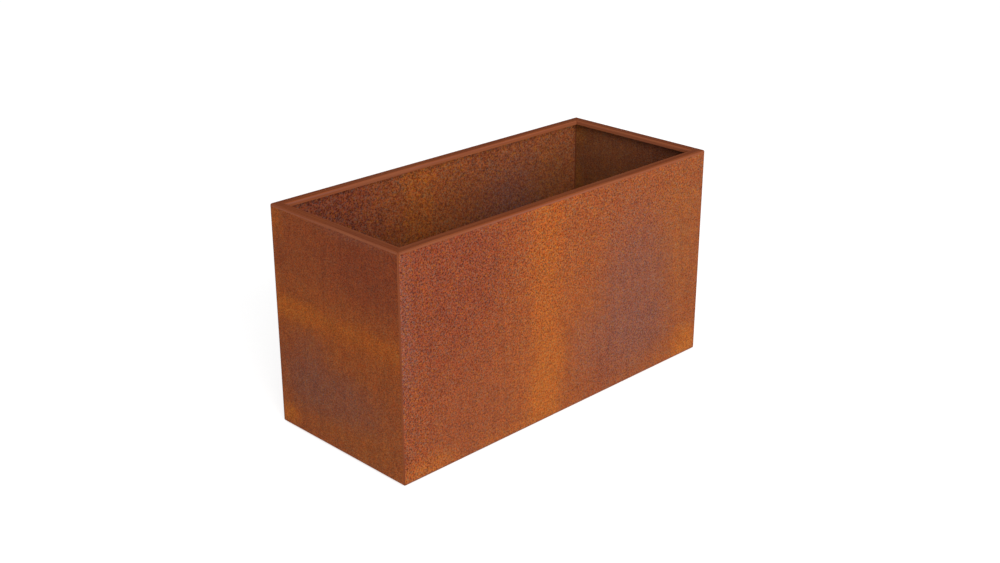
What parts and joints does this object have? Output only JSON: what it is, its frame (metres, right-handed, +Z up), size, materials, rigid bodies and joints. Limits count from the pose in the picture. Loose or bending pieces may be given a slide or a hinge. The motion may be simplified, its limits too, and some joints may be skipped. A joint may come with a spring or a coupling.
{
  "type": "planter box",
  "caption": "Long rectangular planter box in rusted weathering steel, open on top, with a narrow folded rim, a raised drained floor, inner ties and levelling feet.",
  "frame": {"origin": "on the ground under the middle of the box, with the feet as stored", "axes": "+X along the length, +Y from the front wall to the back wall, +Z up"},
  "size_m": [1.4, 0.6, 0.755],
  "materials": {
    "weathering_steel": "rusted, matt, mottled orange, brown and purple-grey",
    "dressed_weld": "ground smooth and rusted",
    "raw_weld": "rippled bead, rusted",
    "inner_steel": "rusted, matt, darker",
    "zinc_plated_steel": "zinc plated, dulled",
    "black_plastic": "matt moulded",
    "cast_foot": "zinc plated, dulled",
    "rubber": "matt"
  },
  "bodies": {
    "root": {"front_panel": "weathering_steel", "back_panel": "weathering_steel", "left_end_panel": "weathering_steel", "right_end_panel": "weathering_steel", "corner_weld_front_left": "dressed_weld", "corner_weld_front_right": "dressed_weld", "corner_weld_back_left": "dressed_weld", "corner_weld_back_right": "dressed_weld", "rim_weld_front_left": "dressed_weld", "rim_weld_front_right": "dressed_weld", "rim_weld_back_left": "dressed_weld", "rim_weld_back_right": "dressed_weld", "floor_plate": "inner_steel", "front_ledge": "inner_steel", "back_ledge": "inner_steel", "left_ledge": "inner_steel", "right_ledge": "inner_steel", "cross_member_left": "inner_steel", "cross_member_middle": "inner_steel", "cross_member_right": "inner_steel", "floor_welds": "raw_weld", "access_plugs": "black_plastic", "tie_bar_left": "inner_steel", "tie_bar_right": "inner_steel", "tie_clips": "inner_steel", "tie_bolts": "zinc_plated_steel", "tie_washers": "zinc_plated_steel", "tie_nuts": "zinc_plated_steel", "foot_bracket_front_left": "inner_steel", "foot_bracket_front_right": "inner_steel", "foot_bracket_back_left": "inner_steel", "foot_bracket_back_right": "inner_steel", "foot_nuts": "zinc_plated_steel", "lock_nuts": "zinc_plated_steel"},
    "foot_front_left": {"foot_pad_front_left": "cast_foot", "foot_sole_front_left": "rubber"},
    "stem_front_left": {"foot_stem_front_left": "zinc_plated_steel"},
    "foot_front_right": {"foot_pad_front_right": "cast_foot", "foot_sole_front_right": "rubber"},
    "stem_front_right": {"foot_stem_front_right": "zinc_plated_steel"},
    "foot_back_left": {"foot_pad_back_left": "cast_foot", "foot_sole_back_left": "rubber"},
    "stem_back_left": {"foot_stem_back_left": "zinc_plated_steel"},
    "foot_back_right": {"foot_pad_back_right": "cast_foot", "foot_sole_back_right": "rubber"},
    "stem_back_right": {"foot_stem_back_right": "zinc_plated_steel"}
  },
  "joints": [
    {"name": "foot_height_front_left", "type": "slide", "parent": "root", "child": "foot_front_left", "axis": [0, 0, -1], "range_m": [-0.005, 0.02]},
    {"name": "stem_turn_front_left", "type": "hinge", "parent": "foot_front_left", "child": "stem_front_left", "pos_m": [-0.64, -0.24, 0.009], "axis": [0, 0, -1], "range_deg": [-1030, 4115]},
    {"name": "foot_height_front_right", "type": "slide", "parent": "root", "child": "foot_front_right", "axis": [0, 0, -1], "range_m": [-0.005, 0.02]},
    {"name": "stem_turn_front_right", "type": "hinge", "parent": "foot_front_right", "child": "stem_front_right", "pos_m": [0.64, -0.24, 0.009], "axis": [0, 0, -1], "range_deg": [-1030, 4115]},
    {"name": "foot_height_back_left", "type": "slide", "parent": "root", "child": "foot_back_left", "axis": [0, 0, -1], "range_m": [-0.005, 0.02]},
    {"name": "stem_turn_back_left", "type": "hinge", "parent": "foot_back_left", "child": "stem_back_left", "pos_m": [-0.64, 0.24, 0.009], "axis": [0, 0, -1], "range_deg": [-1030, 4115]},
    {"name": "foot_height_back_right", "type": "slide", "parent": "root", "child": "foot_back_right", "axis": [0, 0, -1], "range_m": [-0.005, 0.02]},
    {"name": "stem_turn_back_right", "type": "hinge", "parent": "foot_back_right", "child": "stem_back_right", "pos_m": [0.64, 0.24, 0.009], "axis": [0, 0, -1], "range_deg": [-1030, 4115]}
  ],
  "couplings": [
    {"joint": "stem_turn_front_left", "follows": "foot_height_front_left", "rad_per_m": 3590.4},
    {"joint": "stem_turn_front_right", "follows": "foot_height_front_right", "rad_per_m": 3590.4},
    {"joint": "stem_turn_back_left", "follows": "foot_height_back_left", "rad_per_m": 3590.4},
    {"joint": "stem_turn_back_right", "follows": "foot_height_back_right", "rad_per_m": 3590.4}
  ]
}
